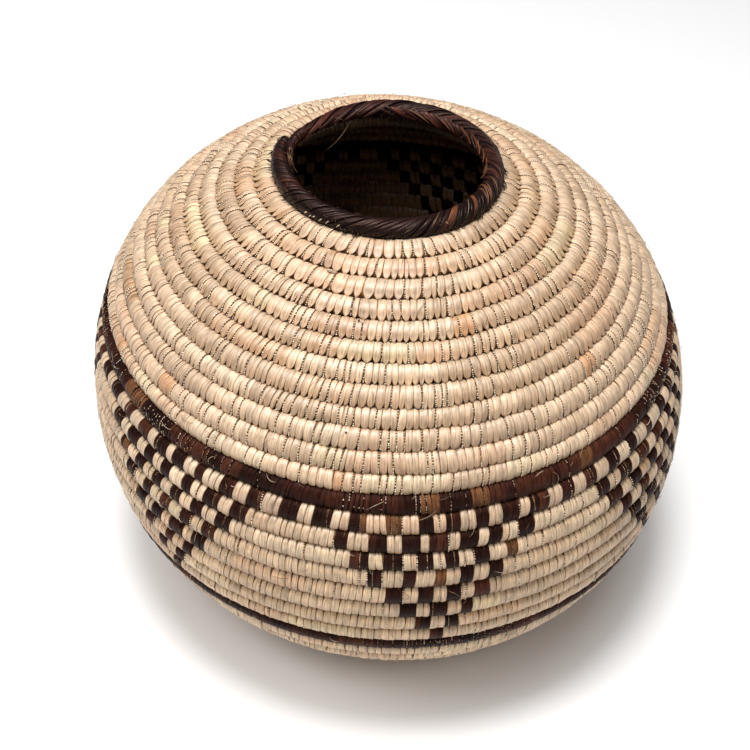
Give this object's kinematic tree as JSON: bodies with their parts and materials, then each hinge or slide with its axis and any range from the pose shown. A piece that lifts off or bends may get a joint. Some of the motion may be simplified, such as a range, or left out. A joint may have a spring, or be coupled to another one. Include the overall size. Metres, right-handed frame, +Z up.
{
  "type": "coiled basket",
  "caption": "Round-bellied coiled palm basket, open at a narrow mouth, with a dark band over a checkered belly and a dark overcast rim; stands on a flat coiled base.",
  "frame": {"origin": "on the floor, at the middle of the flat coiled base", "axes": "+Z up out of the mouth; -Y towards the viewer of the picture; the mouth leans slightly towards -X"},
  "size_m": [0.2709, 0.2706, 0.2252],
  "materials": {
    "natural_palm": "natural palm-leaf strips, satin, in cream, straw and tan",
    "dark_palm": "dark brown dyed palm-leaf strips, satin",
    "rim_splint": "near-black brown splints overcast aslant, satin"
  },
  "bodies": {
    "root": {"base_course_1": "natural_palm", "base_course_2": "natural_palm", "base_course_3": "natural_palm", "base_course_4": "natural_palm", "base_course_5": "natural_palm", "check_course_1": "natural_palm", "check_course_2": "natural_palm", "check_course_3": "natural_palm", "check_course_4": "natural_palm", "check_course_5": "natural_palm", "check_course_6": "natural_palm", "check_course_7": "natural_palm", "check_course_8": "natural_palm", "dark_band_course": "dark_palm", "dark_ring_course": "dark_palm", "lower_course_1": "natural_palm", "lower_course_10": "natural_palm", "lower_course_11": "natural_palm", "lower_course_2": "natural_palm", "lower_course_3": "natural_palm", "lower_course_4": "natural_palm", "lower_course_5": "natural_palm", "lower_course_6": "natural_palm", "lower_course_7": "natural_palm", "lower_course_8": "natural_palm", "lower_course_9": "natural_palm", "rim_coil": "rim_splint", "shoulder_course_1": "natural_palm", "shoulder_course_10": "natural_palm", "shoulder_course_11": "natural_palm", "shoulder_course_12": "natural_palm", "shoulder_course_2": "natural_palm", "shoulder_course_3": "natural_palm", "shoulder_course_4": "natural_palm", "shoulder_course_5": "natural_palm", "shoulder_course_6": "natural_palm", "shoulder_course_7": "natural_palm", "shoulder_course_8": "natural_palm", "shoulder_course_9": "natural_palm", "start_knot": "natural_palm"}
  },
  "joints": []
}
